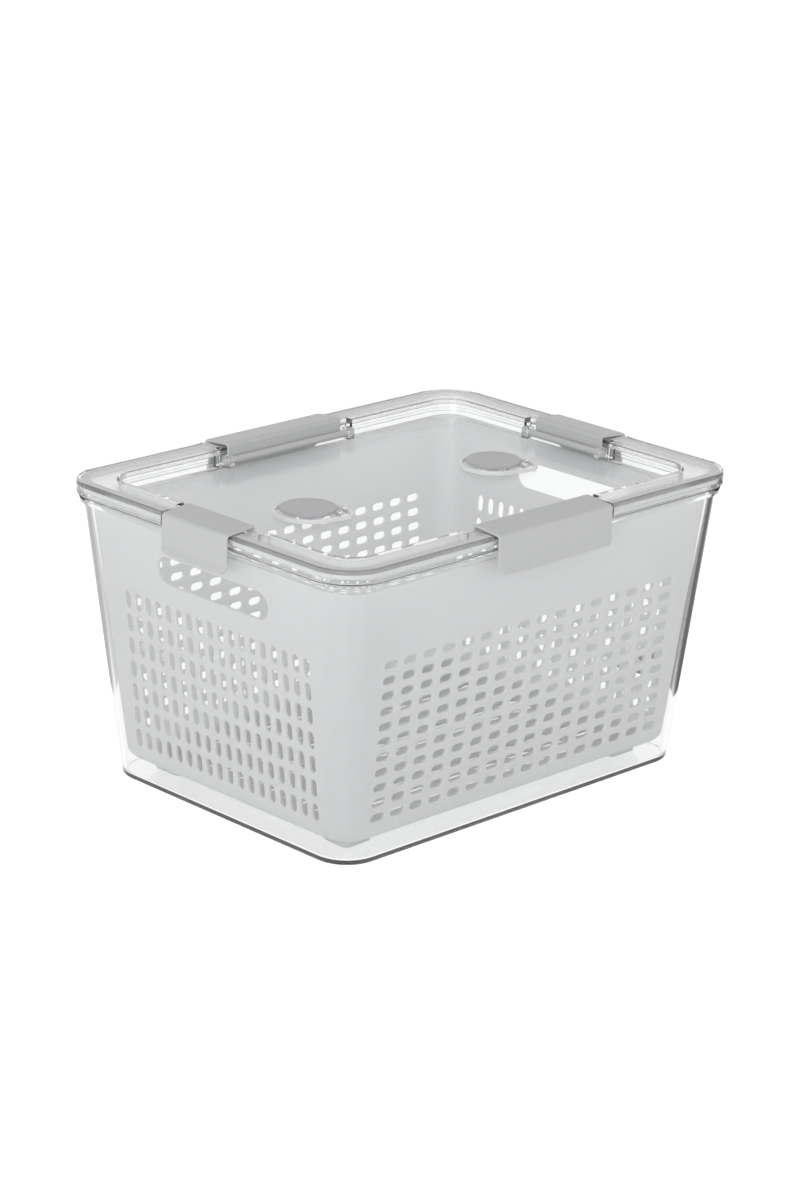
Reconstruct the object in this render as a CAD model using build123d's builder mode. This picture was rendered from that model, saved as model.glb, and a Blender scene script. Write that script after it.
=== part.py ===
from build123d import *

import os
from math import cos, floor, radians, sin, tan

os.makedirs("parts", exist_ok=True)

# ---------------------------------------------------------------- driving dimensions, in millimetres
# Container: a clear drafted tub with a flange round its mouth
BASE_LENGTH = 280.4          # outside of the floor, along X
BASE_WIDTH = 208.4           # outside of the floor, along Y
BASE_CORNER = 22.0           # plan radius of the outside corners, the same at every height
FLANGE_TOP = 174.1           # height of the flange's upper face
WALL_DRAFT = 5.2             # lean of every wall from the vertical, degrees
TUB_WALL = 2.4
TUB_FLOOR = 2.4
TUB_EDGE = 1.4               # bevel between the floor and the walls
FLANGE_REACH = 2.9           # overhang of the flange beyond the wall
FLANGE_THICK = 2.2
FLANGE_DROP = 4.8            # height of the flange with its turned-down lip
FLANGE_LIP = 1.5             # thickness of that lip at its lower edge
FLANGE_EDGE = 0.6            # upright band at the top of the lip's outside
FLANGE_UNDERCUT = 1.0        # how far the lip slopes in below that band

# Lid: a clear panel sunk inside a raised ring with a skirt
LID_OVERHANG = 1.1           # ring beyond the flange
SKIRT_GAP = 0.9              # open seam between the skirt and the flange
SKIRT_HEIGHT = 8.0           # outside face of the ring
SKIRT_WALL = 2.4
RING_WIDTH = 21.6            # flat top between the outer edge and the recess
RING_THICK = 3.2
RING_BEVEL = 1.0             # bevel of the ring's top outer edge
RECESS_DEPTH = 10.6
RECESS_CORNER = 15.0
RECESS_WALL = 2.0
PANEL_THICK = 2.2

# Lid seal
SEAL_WIDTH = 5.6
SEAL_HEIGHT = 2.8
SEAL_REST = 0.3              # between the seal and the top of the tub's wall
SEAL_FIT = 0.1               # between the seal and the skirt

# Basket: a colander that stands on four feet inside the tub
BASKET_GAP = 3.4             # between basket and tub, all round
BASKET_WALL = 2.0
BASKET_FLOOR = 2.2
BASKET_EDGE = 5.0            # bevel between its floor and its walls, outside
BASKET_HEADROOM = 4.2        # below the lid's panel
FOOT_HEIGHT = 7.8
FOOT_REST = 0.2              # between the feet and the tub's floor
FOOT_SIZE = 21.0
FOOT_INSET = 15.5
FOOT_WALL = 2.0
HANDLE_LENGTH = 95.0         # hand hole in each short wall
HANDLE_HEIGHT = 17.0
HANDLE_DROP = 23.0           # its centre below the basket's top edge
FIELD_FOOT = 12.3            # solid band below the slots
FIELD_HEAD = 13.0            # solid band between the slots and the hand holes
FIELD_SIDE = 22.8            # solid corner beside the slots, at mid height
LONG_SLOT = (13.4, 6.6)      # slots of the long walls, along and up
LONG_PITCH = (20.2, 13.1)
SHORT_SLOT = (7.4, 12.4)     # slots of the short walls
SHORT_PITCH = (13.8, 17.2)
FLOOR_SLOT = (70.0, 8.0)     # drain slots of the floor
FLOOR_PITCH = (90.0, 36.0)
FLOOR_MARGIN = 20.0

# Clips: one hinged in the lid's recess at the middle of each side
LONG_CLIP = 92.0             # on the long sides
SHORT_CLIP = 56.0            # on the short sides
CLIP_WALL = 1.8
CLIP_STANDOFF = 2.2          # outer face of the clip beyond the lid's edge
CLIP_RISE = 0.6              # top of the clip above the ring, at its outer edge
CLIP_SLOPE = 1.8             # how much higher the clip is at its inner edge
CLIP_LENGTH = 23.6           # from its outer top edge down to its lower lip
CLIP_CORNER = 6.0            # lower corners, seen from outside
LIP_HEIGHT = 4.6             # lower part of the clip that flares out
LIP_FLARE = 2.4
HINGE_INSET = 23.4           # hinge axis in from the lid's edge
HINGE_RISE = 3.4             # hinge axis above the panel
LEG_OFFSET = 3.3             # inner leg's near face, out from the hinge axis
ROD_RADIUS = 2.2             # round foot of the clip, which turns in the lugs
ROD_REACH = 5.5              # rod beyond each end of the clip
PIN_PLAY = 0.05              # radial play of a rod in its bore
LUG_WIDTH = 4.4
LUG_WALL = 1.2               # plastic beside and above the bore of a lug
END_PLAY = 0.8               # between a clip and the lug beside it
HOOK_BITE = 0.65             # overlap of the catch under the widest part of the flange
HOOK_DROP = 0.4              # catch below the flange's lip
NOTCH_GAP = 2.5              # room beside a clip where it crosses the ring
NOTCH_CLEAR = 0.2            # below the clip's top plate
NOTCH_SLOPE = 1.2            # bevel of the ring's edge behind the clip
HOOK_RAMP = 0.9              # slopes above and below the catch
HOOK_LAND = 0.9              # blunt tip of the catch
SKIRT_RELIEF = 1.4           # skirt cut back behind the clip
POCKET_REACH = 5.1           # recess carried out behind the clip's inner leg

# Vents: two flip caps on the lid's long centre line
VENT_SPACING = 151.0
VENT_ANGLE = -55.0           # direction of the hinge from the cap's centre
CAP_RADIUS = 16.8
CAP_TOP = 4.4                # above the panel
CAP_PLATE = 2.2
CAP_FLAT = 16.5              # straight hinge edge from the centre
CAP_SHOULDER = 6.8           # half width of that edge
TONGUE_WIDTH = 7.0
CAP_HINGE = 19.6             # hinge axis from the centre
CAP_HINGE_RISE = 2.4
CAP_ROD = 1.1                # round bar that the cap turns on
CAP_ROD_REACH = 2.4          # bar beyond each side of the tongue
CAP_LUG_WIDTH = 2.2
CAP_LUG_WALL = 0.8
CAP_END_PLAY = 0.3
VENT_HOLE = 10.0             # radius
PLUG_RADIUS = 9.2
PLUG_DROP = 3.0              # plug below the panel's upper face
VENT_RIM_RADIUS = 20.6       # clear teardrop wall round the cap
VENT_RIM_REACH = 26.5
VENT_RIM_TIP = 4.0           # half width of its blunt tip
VENT_RIM_WALL = 1.6
VENT_RIM_HEIGHT = 2.2

# ---------------------------------------------------------------- sizes that follow
LEAN = tan(radians(WALL_DRAFT))


def tub_half(height, inset=0.0):
    """Half length and half width of the tub's outside at a height, moved in by an inset."""
    grown = LEAN * height - inset
    return BASE_LENGTH / 2 + grown, BASE_WIDTH / 2 + grown


flange_offset = LEAN * FLANGE_TOP + FLANGE_REACH
flange_length = BASE_LENGTH + 2 * flange_offset
flange_width = BASE_WIDTH + 2 * flange_offset
flange_corner = BASE_CORNER + FLANGE_REACH

lid_length = flange_length + 2 * LID_OVERHANG
lid_width = flange_width + 2 * LID_OVERHANG
lid_corner = flange_corner + LID_OVERHANG
skirt_bottom = FLANGE_TOP + SKIRT_GAP
ring_top = skirt_bottom + SKIRT_HEIGHT
ring_under = ring_top - RING_THICK
panel_top = ring_top - RECESS_DEPTH
panel_under = panel_top - PANEL_THICK
recess_length = lid_length - 2 * RING_WIDTH
recess_width = lid_width - 2 * RING_WIDTH

seal_inset = SKIRT_WALL + SEAL_FIT
seal_bottom = ring_under - SEAL_HEIGHT
tub_top = seal_bottom - SEAL_REST

basket_inset = TUB_WALL + BASKET_GAP
basket_bottom = TUB_FLOOR + FOOT_REST + FOOT_HEIGHT
basket_top = panel_under - BASKET_HEADROOM
basket_corner = BASE_CORNER - basket_inset
handle_height = basket_top - HANDLE_DROP
field_bottom = basket_bottom + FIELD_FOOT
field_top = handle_height - HANDLE_HEIGHT / 2 - FIELD_HEAD
field_middle = (field_bottom + field_top) / 2

hinge_height = panel_top + HINGE_RISE
clip_top_outer = ring_top + CLIP_RISE - hinge_height
notch_floor = ring_top + CLIP_RISE - CLIP_WALL - NOTCH_CLEAR
relief_half_width = lid_width / 2 - SKIRT_RELIEF
pocket_inset = RING_WIDTH - POCKET_REACH
hook_reach = HINGE_INSET - LID_OVERHANG - HOOK_BITE
hook_height = FLANGE_TOP - FLANGE_DROP - HOOK_DROP - hinge_height

SIDES = {
    "front": (Vector(0, -1, 0), lid_width / 2, LONG_CLIP),
    "back": (Vector(0, 1, 0), lid_width / 2, LONG_CLIP),
    "left": (Vector(-1, 0, 0), lid_length / 2, SHORT_CLIP),
    "right": (Vector(1, 0, 0), lid_length / 2, SHORT_CLIP),
}
VENTS = {"left": -VENT_SPACING / 2, "right": VENT_SPACING / 2}


def hinge_plane(side):
    """Plane across a clip's hinge axis: x outward, y up, origin on the axis."""
    outward, half, _ = SIDES[side]
    origin = outward * (half - HINGE_INSET) + Vector(0, 0, hinge_height)
    return Plane(origin=origin, x_dir=outward, z_dir=outward.cross(Vector(0, 0, 1)))


def side_plane(side, height):
    """Level plane under the middle of one side of the lid: x outward, origin at the lid's edge."""
    outward, half, _ = SIDES[side]
    return Plane(origin=outward * half + Vector(0, 0, height), x_dir=outward, z_dir=(0, 0, 1))


def vent_plane(vent, height):
    """Level plane at a vent's centre: x towards its hinge."""
    angle = radians(VENT_ANGLE)
    origin = (VENTS[vent], 0, height)
    return Plane(origin=origin, x_dir=(cos(angle), sin(angle), 0), z_dir=(0, 0, 1))


def vent_hinge_plane(vent):
    """Plane across a cap's hinge axis: x away from the cap, y up, origin on the axis."""
    angle = radians(VENT_ANGLE)
    away = Vector(cos(angle), sin(angle), 0)
    origin = Vector(VENTS[vent], 0, panel_top + CAP_HINGE_RISE) + away * CAP_HINGE
    return Plane(origin=origin, x_dir=away, z_dir=away.cross(Vector(0, 0, 1)))


def count(room, size, pitch):
    """How many features of a size fit in a length at a pitch."""
    return floor((room - size) / pitch) + 1


def drafted_block(bottom, top, inset, corner, edge):
    """Solid between two heights inside the tub's outer walls, with round corners and a bevelled foot."""
    half_x, half_y = tub_half(bottom, inset)
    height = top - bottom
    spread = LEAN * height
    with BuildPart() as block:
        with Locations((0, 0, bottom)):
            Wedge(
                2 * half_x,
                height,
                2 * half_y,
                -spread,
                -spread,
                2 * half_x + spread,
                2 * half_y + spread,
                rotation=(90, 0, 0),
                align=(Align.CENTER, Align.MIN, Align.CENTER),
            )
        fillet(block.edges().filter_by(lambda e: abs(e.tangent_at(0.5).Z) > 0.5), corner)
        chamfer(block.faces().sort_by(Axis.Z)[0].edges(), edge)
    return block.part


# ---------------------------------------------------------------- container
tub_outside = drafted_block(0, tub_top, 0, BASE_CORNER, TUB_EDGE)
tub_inside = drafted_block(TUB_FLOOR, tub_top, TUB_WALL, BASE_CORNER - TUB_WALL, TUB_EDGE)

with BuildPart() as container:
    # flange with a sloping outside face
    with BuildSketch(Plane.XY.offset(FLANGE_TOP)):
        RectangleRounded(flange_length, flange_width, flange_corner)
    extrude(amount=-FLANGE_DROP)
    chamfer(
        container.faces().sort_by(Axis.Z)[0].edges(),
        length=FLANGE_DROP - FLANGE_EDGE,
        length2=FLANGE_UNDERCUT,
    )
    # hollow under the flange, between the wall and the lip
    lip_inset = FLANGE_UNDERCUT + FLANGE_LIP
    with BuildSketch(Plane.XY.offset(FLANGE_TOP - FLANGE_DROP)):
        RectangleRounded(
            flange_length - 2 * lip_inset,
            flange_width - 2 * lip_inset,
            flange_corner - lip_inset,
        )
    extrude(amount=FLANGE_DROP - FLANGE_THICK, mode=Mode.SUBTRACT)
    add(tub_outside)
    add(tub_inside, mode=Mode.SUBTRACT)

container.part.label = "container"
export_step(container.part, "parts/container.step")

# ---------------------------------------------------------------- basket
basket_foot_x, basket_foot_y = tub_half(basket_bottom, basket_inset)
basket_middle_x, basket_middle_y = tub_half(field_middle, basket_inset)
basket_outside = drafted_block(basket_bottom, basket_top, basket_inset, basket_corner, BASKET_EDGE)
basket_inside = drafted_block(
    basket_bottom + BASKET_FLOOR,
    basket_top,
    basket_inset + BASKET_WALL,
    basket_corner - BASKET_WALL,
    BASKET_EDGE - BASKET_WALL / 2,
)

with BuildPart() as basket:
    add(basket_outside)
    add(basket_inside, mode=Mode.SUBTRACT)
    # hollow feet
    foot_x = basket_foot_x - FOOT_INSET - FOOT_SIZE / 2
    foot_y = basket_foot_y - FOOT_INSET - FOOT_SIZE / 2
    with BuildSketch(Plane.XY.offset(basket_bottom - FOOT_HEIGHT)):
        with GridLocations(2 * foot_x, 2 * foot_y, 2, 2):
            Rectangle(FOOT_SIZE, FOOT_SIZE)
            Rectangle(FOOT_SIZE - 2 * FOOT_WALL, FOOT_SIZE - 2 * FOOT_WALL, mode=Mode.SUBTRACT)
    extrude(amount=FOOT_HEIGHT)
    # hand holes in the short walls
    with BuildSketch(Plane.YZ.offset(-BASE_LENGTH)):
        with Locations((0, handle_height)):
            SlotOverall(HANDLE_LENGTH, HANDLE_HEIGHT)
    extrude(amount=2 * BASE_LENGTH, mode=Mode.SUBTRACT)
    # drain slots in the floor
    with BuildSketch(Plane.XY.offset(basket_bottom)):
        columns = count(2 * (basket_foot_x - FLOOR_MARGIN), FLOOR_SLOT[0], FLOOR_PITCH[0])
        rows = count(2 * (basket_foot_y - FLOOR_MARGIN), FLOOR_SLOT[1], FLOOR_PITCH[1])
        with GridLocations(FLOOR_PITCH[0], FLOOR_PITCH[1], columns, rows):
            Rectangle(*FLOOR_SLOT)
    extrude(amount=BASKET_FLOOR, mode=Mode.SUBTRACT, clean=False)
    # lying slots, drawn once and cut through both long walls
    with BuildSketch(Plane.XZ.offset(-BASE_WIDTH)):
        columns = count(2 * (basket_middle_x - FIELD_SIDE), LONG_SLOT[0], LONG_PITCH[0])
        rows = count(field_top - field_bottom, LONG_SLOT[1], LONG_PITCH[1])
        with Locations((0, field_middle)):
            with GridLocations(LONG_PITCH[0], LONG_PITCH[1], columns, rows):
                Rectangle(*LONG_SLOT)
    extrude(amount=2 * BASE_WIDTH, mode=Mode.SUBTRACT, clean=False)
    # standing slots through both short walls
    with BuildSketch(Plane.YZ.offset(-BASE_LENGTH)):
        columns = count(2 * (basket_middle_y - FIELD_SIDE), SHORT_SLOT[0], SHORT_PITCH[0])
        rows = count(field_top - field_bottom, SHORT_SLOT[1], SHORT_PITCH[1])
        with Locations((0, field_middle)):
            with GridLocations(SHORT_PITCH[0], SHORT_PITCH[1], columns, rows):
                Rectangle(*SHORT_SLOT)
    extrude(amount=2 * BASE_LENGTH, mode=Mode.SUBTRACT, clean=False)

basket.part.label = "basket"
export_step(basket.part, "parts/basket.step")

# ---------------------------------------------------------------- lid
basin_inset = RING_WIDTH - RECESS_WALL
clip_bore = ROD_RADIUS + PIN_PLAY
cap_bore = CAP_ROD + PIN_PLAY


def lid_outline(inset, corner):
    """Rounded rectangle that runs inside the lid's edge, for the sketch that is open."""
    RectangleRounded(lid_length - 2 * inset, lid_width - 2 * inset, corner)


def pocket_outline(wall):
    """The pieces that widen the recess behind the clips, grown by a wall, for the open sketch."""
    for outward, half, length in SIDES.values():
        depth = POCKET_REACH + 2 * wall
        span = length + 2 * (END_PLAY + LUG_WIDTH + NOTCH_GAP + wall)
        centre = outward * (half - pocket_inset + wall - depth / 2)
        size = (span, depth) if abs(outward.Y) > abs(outward.X) else (depth, span)
        with Locations((centre.X, centre.Y)):
            Rectangle(*size)


def lug_outline(bore, wall, rise):
    """Lug from the panel up to a wall above its bore, for the sketch that is open on the hinge axis."""
    with Locations((0, (bore + wall - rise) / 2)):
        Rectangle(2 * (bore + wall), bore + wall + rise)
    Circle(bore, mode=Mode.SUBTRACT)


def teardrop(radius, reach, tip):
    """Circle drawn out by two tangents to a blunt tip, for the sketch that is open."""
    make_hull([Edge.make_circle(radius), Edge.make_line((reach, -tip), (reach, tip))])


with BuildPart() as lid:
    # ring with its skirt
    with BuildSketch(Plane.XY.offset(skirt_bottom)):
        lid_outline(0, lid_corner)
    extrude(amount=SKIRT_HEIGHT)
    chamfer(lid.faces().sort_by(Axis.Z)[-1].edges(), RING_BEVEL)
    with BuildSketch(Plane.XY.offset(skirt_bottom)):
        lid_outline(SKIRT_WALL, lid_corner - SKIRT_WALL)
    extrude(amount=SKIRT_HEIGHT - RING_THICK, mode=Mode.SUBTRACT)
    # outside of the sunk panel, its walls and the clip pockets
    with BuildSketch(Plane.XY.offset(panel_under)):
        lid_outline(basin_inset, RECESS_CORNER + RECESS_WALL)
        pocket_outline(RECESS_WALL)
    extrude(amount=ring_under - panel_under)
    # inside of the recess
    with BuildSketch(Plane.XY.offset(panel_top)):
        lid_outline(RING_WIDTH, RECESS_CORNER)
        pocket_outline(0)
    extrude(amount=RECESS_DEPTH, mode=Mode.SUBTRACT)
    for side, (outward, half, length) in SIDES.items():
        notch_span = length + 2 * NOTCH_GAP
        # notch in the ring's top, where the clip crosses it
        with BuildSketch(side_plane(side, notch_floor)):
            with Locations((-pocket_inset / 2, 0)):
                Rectangle(pocket_inset + 2 * RECESS_WALL, notch_span)
        extrude(amount=SKIRT_HEIGHT, mode=Mode.SUBTRACT)
        # skirt cut back behind the clip, with a sloping upper edge
        with BuildSketch(hinge_plane(side)):
            with BuildLine():
                Polyline(
                    (HINGE_INSET - SKIRT_RELIEF, -SKIRT_HEIGHT),
                    (HINGE_INSET - SKIRT_RELIEF, notch_floor - hinge_height - NOTCH_SLOPE),
                    (HINGE_INSET - SKIRT_RELIEF - NOTCH_SLOPE, notch_floor - hinge_height),
                    (HINGE_INSET + SKIRT_RELIEF, notch_floor - hinge_height),
                    (HINGE_INSET + SKIRT_RELIEF, -SKIRT_HEIGHT),
                    close=True,
                )
            make_face()
        extrude(amount=notch_span / 2, both=True, mode=Mode.SUBTRACT)
        # lugs for the clip's journals
        for sign in (-1, 1):
            lug_face = hinge_plane(side).offset(sign * (length / 2 + END_PLAY))
            with BuildSketch(lug_face):
                lug_outline(clip_bore, LUG_WALL, HINGE_RISE)
            extrude(amount=sign * LUG_WIDTH)
    for vent in VENTS:
        # wall round the cap
        with BuildSketch(vent_plane(vent, panel_top)):
            teardrop(VENT_RIM_RADIUS, VENT_RIM_REACH, VENT_RIM_TIP)
            offset(amount=-VENT_RIM_WALL, mode=Mode.SUBTRACT)
        extrude(amount=VENT_RIM_HEIGHT)
        # hole under the cap
        with BuildSketch(vent_plane(vent, panel_under)):
            Circle(VENT_HOLE)
        extrude(amount=PANEL_THICK, mode=Mode.SUBTRACT)
        # lugs for the cap's pins
        for sign in (-1, 1):
            lug_face = vent_hinge_plane(vent).offset(sign * (TONGUE_WIDTH / 2 + CAP_END_PLAY))
            with BuildSketch(lug_face):
                lug_outline(cap_bore, CAP_LUG_WALL, CAP_HINGE_RISE)
            extrude(amount=sign * CAP_LUG_WIDTH)

lid.part.label = "lid"
export_step(lid.part, "parts/lid.step")

# ---------------------------------------------------------------- lid seal
with BuildPart() as lid_seal:
    with BuildSketch(Plane.XY.offset(seal_bottom)):
        lid_outline(seal_inset, lid_corner - seal_inset)
        inner = seal_inset + SEAL_WIDTH
        RectangleRounded(
            lid_length - 2 * inner,
            lid_width - 2 * inner,
            lid_corner - inner,
            mode=Mode.SUBTRACT,
        )
    extrude(amount=SEAL_HEIGHT)

lid_seal.part.label = "lid_seal"
export_step(lid_seal.part, "parts/lid_seal.step")

# ---------------------------------------------------------------- clips
leg_outer = LEG_OFFSET + CLIP_WALL
shell_outer = HINGE_INSET + CLIP_STANDOFF
shell_inner = shell_outer - CLIP_WALL
clip_bottom = clip_top_outer - CLIP_LENGTH
lip_start = clip_bottom + LIP_HEIGHT
clip_top_inner = clip_top_outer + CLIP_SLOPE

for side, (outward, half, length) in SIDES.items():
    with BuildPart() as clip:
        # cross-section: foot, inner leg, top plate, outer leg and flared lip
        with BuildSketch(hinge_plane(side)) as section:
            with BuildLine():
                Polyline(
                    (0, -ROD_RADIUS),
                    (leg_outer, -ROD_RADIUS),
                    (leg_outer, clip_top_inner - CLIP_WALL),
                    (shell_inner, clip_top_outer - CLIP_WALL),
                    (shell_inner, lip_start),
                    (shell_inner + LIP_FLARE, clip_bottom),
                    (shell_outer + LIP_FLARE, clip_bottom),
                    (shell_outer, lip_start),
                    (shell_outer, clip_top_outer),
                    (LEG_OFFSET, clip_top_inner),
                    (LEG_OFFSET, CLIP_WALL - ROD_RADIUS),
                    (0, CLIP_WALL - ROD_RADIUS),
                    close=True,
                )
            make_face()
        extrude(amount=length / 2, both=True)
        # rounded corners, seen from outside
        face = Plane(
            origin=outward * half + Vector(0, 0, hinge_height + clip_bottom),
            x_dir=Vector(0, 0, 1).cross(outward),
            z_dir=outward,
        )
        with BuildSketch(face.offset(-2 * HINGE_INSET)):
            with Locations((0, CLIP_LENGTH)):
                RectangleRounded(length, 2 * CLIP_LENGTH, CLIP_CORNER)
        extrude(amount=4 * HINGE_INSET, mode=Mode.INTERSECT)
        # catch along the outer leg, below the flange
        with BuildSketch(hinge_plane(side)):
            with BuildLine():
                Polyline(
                    (shell_inner, hook_height + HOOK_RAMP),
                    (hook_reach, hook_height),
                    (hook_reach, hook_height - HOOK_LAND),
                    (shell_inner, hook_height - HOOK_LAND - HOOK_RAMP),
                    close=True,
                )
            make_face()
        extrude(amount=length / 2 - CLIP_CORNER, both=True)
        # rod that turns in the lugs
        with BuildSketch(hinge_plane(side)):
            Circle(ROD_RADIUS)
        extrude(amount=length / 2 + ROD_REACH, both=True)
    clip.part.label = f"clip_{side}"
    export_step(clip.part, f"parts/clip_{side}.step")

# ---------------------------------------------------------------- vent caps and their seals
for vent in VENTS:
    with BuildPart() as vent_cap:
        with BuildSketch(vent_plane(vent, panel_top + CAP_TOP)):
            teardrop(CAP_RADIUS, CAP_FLAT, CAP_SHOULDER)
        extrude(amount=-CAP_PLATE)
        # tongue, and the round bar at its end
        with BuildSketch(vent_hinge_plane(vent)):
            with Locations((-(CAP_HINGE - CAP_FLAT) / 2, 0)):
                Rectangle(CAP_HINGE - CAP_FLAT, 2 * CAP_ROD)
        extrude(amount=TONGUE_WIDTH / 2, both=True)
        with BuildSketch(vent_hinge_plane(vent)):
            Circle(CAP_ROD)
        extrude(amount=TONGUE_WIDTH / 2 + CAP_ROD_REACH, both=True)
    vent_cap.part.label = f"vent_cap_{vent}"
    export_step(vent_cap.part, f"parts/vent_cap_{vent}.step")

    with BuildPart() as vent_seal:
        with BuildSketch(vent_plane(vent, panel_top - PLUG_DROP)):
            Circle(PLUG_RADIUS)
        extrude(amount=PLUG_DROP + CAP_TOP - CAP_PLATE)
    vent_seal.part.label = f"vent_seal_{vent}"
    export_step(vent_seal.part, f"parts/vent_seal_{vent}.step")
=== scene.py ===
"""Dresses a clear potato storage bin with a slotted lift-out basket, a sunk lid, side clips and vent caps.

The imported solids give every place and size. Each class below stands for one sub-assembly: its fields are the
sizes of the real piece in metres, its methods build the surfaces and give them their finish.
"""

import logging
import math
from collections.abc import Callable
from dataclasses import dataclass, field
from enum import Enum
from functools import cache

import bmesh
import bpy
import numpy as np
from mathutils import Matrix, Vector


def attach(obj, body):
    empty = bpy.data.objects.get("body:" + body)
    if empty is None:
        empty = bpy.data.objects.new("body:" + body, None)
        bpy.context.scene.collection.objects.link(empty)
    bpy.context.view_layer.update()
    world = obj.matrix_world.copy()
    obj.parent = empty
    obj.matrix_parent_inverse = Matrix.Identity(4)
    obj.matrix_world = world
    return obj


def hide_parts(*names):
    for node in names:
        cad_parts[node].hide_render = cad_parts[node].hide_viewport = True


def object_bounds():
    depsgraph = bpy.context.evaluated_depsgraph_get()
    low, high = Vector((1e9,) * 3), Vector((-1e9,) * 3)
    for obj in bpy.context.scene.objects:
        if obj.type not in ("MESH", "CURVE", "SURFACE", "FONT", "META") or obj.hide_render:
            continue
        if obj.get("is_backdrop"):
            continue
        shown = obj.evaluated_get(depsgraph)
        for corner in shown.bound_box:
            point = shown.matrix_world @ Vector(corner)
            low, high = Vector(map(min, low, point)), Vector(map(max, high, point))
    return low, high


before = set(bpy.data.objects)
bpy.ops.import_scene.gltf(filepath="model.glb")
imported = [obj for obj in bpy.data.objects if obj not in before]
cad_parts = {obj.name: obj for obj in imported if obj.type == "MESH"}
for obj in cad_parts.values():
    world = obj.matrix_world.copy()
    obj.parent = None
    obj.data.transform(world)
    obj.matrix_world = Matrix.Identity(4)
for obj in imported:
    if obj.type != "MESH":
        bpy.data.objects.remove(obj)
CAD_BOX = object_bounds()

LOG = logging.getLogger("storage_bin")
MM = 0.001
QUARTER = math.pi / 2
SMOOTH_ANGLE = math.radians(32)
MERGE_DISTANCE = 4e-6
SLIVER = 1e-7
Array = np.ndarray


# ---------------------------------------------------------------- meshes
def grid_faces(rows: int, columns: int, wrap_rows: bool, wrap_columns: bool) -> Array:
    """Number the quads of a grid of vertices that is stored row by row.

    Args:
        rows: how many rows of vertices.
        columns: how many vertices in each row.
        wrap_rows: whether the last row joins the first.
        wrap_columns: whether each row closes on itself.

    Returns:
        Array of shape (quads, 4).
    """
    row = np.arange(rows if wrap_rows else rows - 1)[:, None]
    column = np.arange(columns if wrap_columns else columns - 1)[None, :]
    next_row, next_column = (row + 1) % rows, (column + 1) % columns
    corners = ((row, column), (row, next_column), (next_row, next_column), (next_row, column))
    return np.stack([(across * columns + along).ravel() for across, along in corners], axis=1)


def pairs(first: Array, second: Array) -> Array:
    """Flat points (first, second), where either may be one number for all."""
    return np.stack(np.broadcast_arrays(first, second), axis=-1)


def at_height(flat: Array, height: float) -> Array:
    """Flat points lifted to one height, or each to its own."""
    return np.column_stack([flat, np.full(len(flat), height)])


def rays(turn: Array) -> Array:
    """Directions (cos t, sin t) at the given angles."""
    return pairs(np.cos(turn), np.sin(turn))


def circle(radius: float, count: int) -> Array:
    """Points evenly round a circle, counter-clockwise."""
    return radius * rays(np.arange(count) * 2 * math.pi / count)


def run_along(line: Array) -> Array:
    """Distance of each point of a line from its start, along the line."""
    return np.concatenate([[0], np.cumsum(np.linalg.norm(np.diff(line, axis=0), axis=1))])


def lift(rings: Array, heights: Array) -> Array:
    """Give each of some flat rings, of shape (rings, points, 2), its height."""
    up = np.broadcast_to(heights[:, None, None], (*rings.shape[:2], 1))
    return np.concatenate([rings, up], axis=2)


def lay(side: int, across: Array, reach: Array, height: Array) -> Array:
    """Place points on one side of the bin, at outward * reach + along * across.

    With t the side's turn, outward is (sin t, -cos t) and along is (cos t, sin t).

    Args:
        side: quarter turns from the front, counter-clockwise.
        across: distances along the side.
        reach: distances out from the bin's middle.
        height: heights above the table.

    Returns:
        Array with a last dimension of 3.
    """
    turn = side * QUARTER
    x = math.sin(turn) * reach + math.cos(turn) * across
    y = -math.cos(turn) * reach + math.sin(turn) * across
    return np.stack(np.broadcast_arrays(x, y, height), axis=-1)


def rounded_outline(corners: list, steps: int = 5) -> Array:
    """Closed outline with an arc in place of each corner.

    An arc of radius r starts and ends r / tan(half the corner's angle) from the corner, and its points turn
    evenly about the centre, which lies on the line that halves the corner.

    Args:
        corners: (across, up, radius) of each corner, with radius 0 for a sharp one.
        steps: how many stretches each arc has.

    Returns:
        Array of shape (n, 2).
    """
    outline = []
    for index, (*place, radius) in enumerate(corners):
        corner = np.array(place, float)
        if radius == 0:
            outline.append(corner[None, :])
            continue
        back = np.array(corners[index - 1][:2], float) - corner
        ahead = np.array(corners[(index + 1) % len(corners)][:2], float) - corner
        back /= np.linalg.norm(back)
        ahead /= np.linalg.norm(ahead)
        half = math.acos(np.clip(back @ ahead, -1, 1)) / 2
        centre = corner + (back + ahead) / np.linalg.norm(back + ahead) * radius / math.sin(half)
        start = corner + back * radius / math.tan(half) - centre
        end = corner + ahead * radius / math.tan(half) - centre
        turn = math.atan2(start[0] * end[1] - start[1] * end[0], start @ end)
        angles = np.linspace(0, turn, steps + 1)[:, None]
        side = np.array([-start[1], start[0]])
        outline.append(centre + start * np.cos(angles) + side * np.sin(angles))
    return np.concatenate(outline)


def round_box(left: float, low: float, right: float, high: float, radii: tuple, steps: int) -> Array:
    """Outline of an upright box, counter-clockwise from its low left corner.

    Args:
        left: its left side.
        low: its underside.
        right: its right side.
        high: its top.
        radii: radius of the two low corners, and of the two high ones.
        steps: how many stretches each corner has.

    Returns:
        Array of shape (n, 2).
    """
    under, over = radii
    corners = [(left, low, under), (right, low, under), (right, high, over), (left, high, over)]
    return rounded_outline(corners, steps)


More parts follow.
